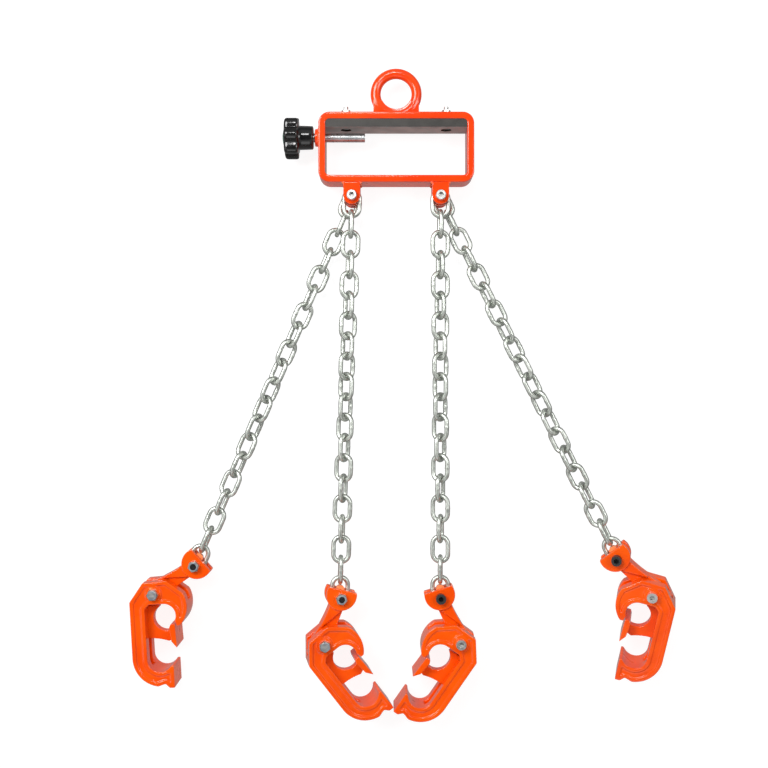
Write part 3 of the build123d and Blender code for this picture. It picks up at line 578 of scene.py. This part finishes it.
EYE_FOOT_HALF_LENGTH, EYE_FOOT_HALF_DEPTH = 29.7 * MM, 6.0 * MM
EYE_BEAD_LIFT = 0.5 * MM
EYE_BEAD_RADIUS, EYE_BEAD_STEP = 2.0 * MM, 1.4 * MM
LUG_HALF_WIDTH = 10.75 * MM
LUG_BEAD_DROP = 0.3 * MM
LUG_BEAD_RADIUS, LUG_BEAD_STEPS = 1.9 * MM, 9
# along Z in millimetres: the three plates of a lug, between and beside its two slots
LUG_PLATES = ((15.4, 19.2, "front"), (-1.6, 6.6, "middle"), (-14.6, -10.4, "rear"))
BOSS_BEAD_LIFT = 0.2 * MM
BOSS_LOOP_RADIUS, BOSS_BEAD_RADIUS, BOSS_BEAD_POINTS = 11.6 * MM, 1.2 * MM, 70

eye_low, eye_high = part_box("lifting_eye")
foot = Vector(((eye_low.x + eye_high.x) / 2, eye_low.y + EYE_BEAD_LIFT, 0))
add_bead("eye_weld", frame_points(foot, X, Z, EYE_FOOT_HALF_LENGTH, EYE_FOOT_HALF_DEPTH, EYE_BEAD_STEP),
         EYE_BEAD_RADIUS, True)
sleeve_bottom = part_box("fork_sleeve")[0].y
lug_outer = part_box("suspension_lugs")[1].x
for side, side_name in ((-1, "left"), (1, "right")):
    centre = side * (lug_outer - LUG_HALF_WIDTH)
    for edge, edge_name in ((-1, "a"), (1, "b")):
        x = centre + edge * LUG_HALF_WIDTH
        for z0, z1, plate in LUG_PLATES:
            heights = [z0 + (z1 - z0) * i / LUG_BEAD_STEPS for i in range(LUG_BEAD_STEPS + 1)]
            points = [Vector((x, sleeve_bottom - LUG_BEAD_DROP, z * MM)) for z in heights]
            add_bead(f"lug_weld_{side_name}_{edge_name}_{plate}", points, LUG_BEAD_RADIUS, False)
boss_low, boss_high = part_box("screw_boss")
boss = Vector((boss_high.x - BOSS_BEAD_LIFT, (boss_low.y + boss_high.y) / 2, 0))
add_bead("boss_weld", loop_points(boss, Y, Z, BOSS_LOOP_RADIUS, BOSS_BEAD_POINTS), BOSS_BEAD_RADIUS, True)


# ------------------------------------------------------------------ fasteners
RING_STEPS, RING_SIDES = 28, 8
RING_RADIUS, RING_THICKNESS = 4.75 * MM, 0.6 * MM
RING_DEPTH = 0.55 * MM               # from a nut's top face to the ring's centre
RING_DEPTH_BELOW = 0.7 * MM          # for a nut that faces the ground, which keeps its ring inside


def ring_mesh(name, centre, axis):
    """Nylon insert: a soft ring in a nut's collar."""
    first = axis.orthogonal().normalized()
    second = axis.cross(first)
    verts = []
    for i in range(RING_STEPS):
        t = 2 * math.pi * i / RING_STEPS
        out = first * math.cos(t) + second * math.sin(t)
        for k in range(RING_SIDES):
            a = 2 * math.pi * k / RING_SIDES
            reach = RING_RADIUS + RING_THICKNESS * math.cos(a)
            verts.append(centre + out * reach + axis * (RING_THICKNESS * math.sin(a)))
    return mesh_from(name, verts, tube_faces(RING_STEPS, RING_SIDES, True))


for leg_name in LEG_NAMES:
    for which, joint, body in (("head", "lever_swing", "lever_body"), ("pivot", "clamp_swing", "clamp")):
        pin = JOINTS[f"{leg_name}_{joint}"]
        nutwards = -Vector(pin["axis"]).normalized()
        origin = Vector(pin["pos_m"])
        node = NODES[f"{leg_name}_{which}_nut"]
        top = max((node.matrix_world @ v.co - origin).dot(nutwards) for v in node.data.vertices)
        name = f"{leg_name}_{which}_nylon"
        depth = RING_DEPTH if nutwards.z > 0 else RING_DEPTH_BELOW
        centre = origin + nutwards * (top - depth)
        add_piece(name, ring_mesh(name, centre, nutwards), MAT["nylon"], f"{leg_name}_{body}")


# -------------------------------------------------- materials of the CAD nodes
UNDERSIDE = -0.9                     # a face of the pad with a normal's Y below this gets paler rubber, a painted sheen for the light that grazes the pad's underside


def dress(node, material):
    mesh = NODES[node].data
    mesh.materials.clear()
    mesh.materials.append(MAT[material])


for node in NODES:
    if node.endswith("head_bolt"):
        dress(node, "black")
    elif node == "rubber_pad":
        dress(node, "rubber")
        pad = NODES[node].data
        pad.materials.append(MAT["rubber_painted_sheen"])
        # the underside faces get the paler rubber, a painted sheen
        for polygon in pad.polygons:
            if polygon.normal.y < UNDERSIDE:
                polygon.material_index = 1
    elif node == "knob_cap":
        dress(node, "cap")
    elif any(word in node for word in ("bolt", "nut", "screws", "stud")):
        dress(node, "bolt")
    elif "chain" in node or node.endswith(("top_link", "end_link")):
        dress(node, "chain")
    elif node == "star_knob":
        dress(node, "knob")
    elif any(word in node for word in ("lever", "clamp_body", "jaw", "keeper")):
        dress(node, "cast")
    else:
        dress(node, "weldment")


# ---------------------------------------------------------------- stage, light
FLOOR_SIZE = 14.0
FLOOR_GLOW = 0.9
FLOOR_DARK, FLOOR_LIGHT = (0.15, 0.15, 0.15), (0.17, 0.17, 0.17)
VIEW_CENTRE = Vector((-15.7, -376.0, 0)) * MM
CAMERA_HEIGHT = 1.385
CAMERA_LENS_MM, CAMERA_SENSOR_MM = 50, 36
CAMERA_NEAR = 0.05
# how bright the studio is at each height, from 0 straight below through 0.5 level to 1 straight above
SKY = ((0.0, 0.42), (0.44, 0.36), (0.50, 0.10), (0.62, 0.22), (0.72, 0.62), (0.90, 0.74), (0.94, 0.18),
       (1.0, 0.10))
SKY_STRENGTH = 0.68
# name, place from the middle of the picture in metres, side in metres, power in watts
LIGHTS = (("key", (-1.1, 0.9, 1.75), 1.05, 41),
          ("strip_back", (-0.1, 1.15, 1.9), 0.35, 8),
          ("strip_right", (1.1, 0.4, 1.8), 0.65, 9),
          ("fill_front", (-0.3, -2.4, 1.4), 1.6, 8),
          ("rim_left", (-2.4, -0.6, 1.1), 1.2, 6),
          ("fill_right", (2.2, 0.5, 1.6), 1.5, 6))


def floor_material():
    """White paper on a light table: it glows a little, so it takes hardly any colour or shadow."""
    paper = Shader("floor_paper", Roughness=0.9, Specular_IOR_Level=0.1, Emission_Color=(1, 1, 1, 1),
                   Emission_Strength=FLOOR_GLOW)
    clouds = paper.fit(paper.noise(scale=3, detail=2), span=BROAD)
    return paper.done(paper.mix(clouds, FLOOR_DARK, FLOOR_LIGHT))


def lay_floor():
    floor_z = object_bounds()[0].z
    bpy.ops.mesh.primitive_plane_add(size=FLOOR_SIZE, location=(0, VIEW_CENTRE.y, floor_z))
    floor = bpy.context.object
    floor.name = "floor"
    floor.data.materials.append(floor_material())
    floor.visible_glossy = False     # polished parts mirror the grey lower half of the studio instead


def light_studio():
    """The studio all round: dark straight above, where the camera looks from, with a soft ring about it."""
    world = bpy.data.worlds.new("studio")
    bpy.context.scene.world = world
    world.use_nodes = True
    nodes, links = world.node_tree.nodes, world.node_tree.links
    coord = nodes.new("ShaderNodeTexCoord")
    split = nodes.new("ShaderNodeSeparateXYZ")
    ramp = nodes.new("ShaderNodeValToRGB")
    for place, level in SKY[1:-1]:
        ramp.color_ramp.elements.new(place)
    for element, (place, level) in zip(ramp.color_ramp.elements, SKY):
        element.color = (level, level, level, 1)
    links.new(coord.outputs["Generated"], split.inputs[0])
    height = nodes.new("ShaderNodeMapRange")
    height.inputs["From Min"].default_value = -1.0
    links.new(split.outputs["Z"], height.inputs["Value"])
    links.new(height.outputs["Result"], ramp.inputs[0])
    links.new(ramp.outputs["Color"], nodes["Background"].inputs["Color"])
    nodes["Background"].inputs["Strength"].default_value = SKY_STRENGTH


def soft_light(name, offset, size, power):
    """A square lamp that faces the middle of the picture."""
    data = bpy.data.lights.new(name, "AREA")
    data.shape = "SQUARE"
    data.size = size
    data.energy = power
    lamp = bpy.data.objects.new(name, data)
    lamp.location = VIEW_CENTRE + Vector(offset)
    lamp.rotation_euler = (VIEW_CENTRE - lamp.location).to_track_quat("-Z", "Y").to_euler()
    bpy.context.scene.collection.objects.link(lamp)


def place_camera():
    """The camera looks straight down."""
    data = bpy.data.cameras.new("camera")
    data.lens = CAMERA_LENS_MM
    data.sensor_width = CAMERA_SENSOR_MM
    data.clip_start = CAMERA_NEAR
    camera = bpy.data.objects.new("camera", data)
    camera.location = VIEW_CENTRE + Vector((0, 0, CAMERA_HEIGHT))
    bpy.context.scene.collection.objects.link(camera)
    bpy.context.scene.camera = camera


lay_floor()
light_studio()
for light in LIGHTS:
    soft_light(*light)
place_camera()
bpy.context.scene.view_settings.view_transform = "Standard"
bpy.context.scene.view_settings.exposure = 0.0
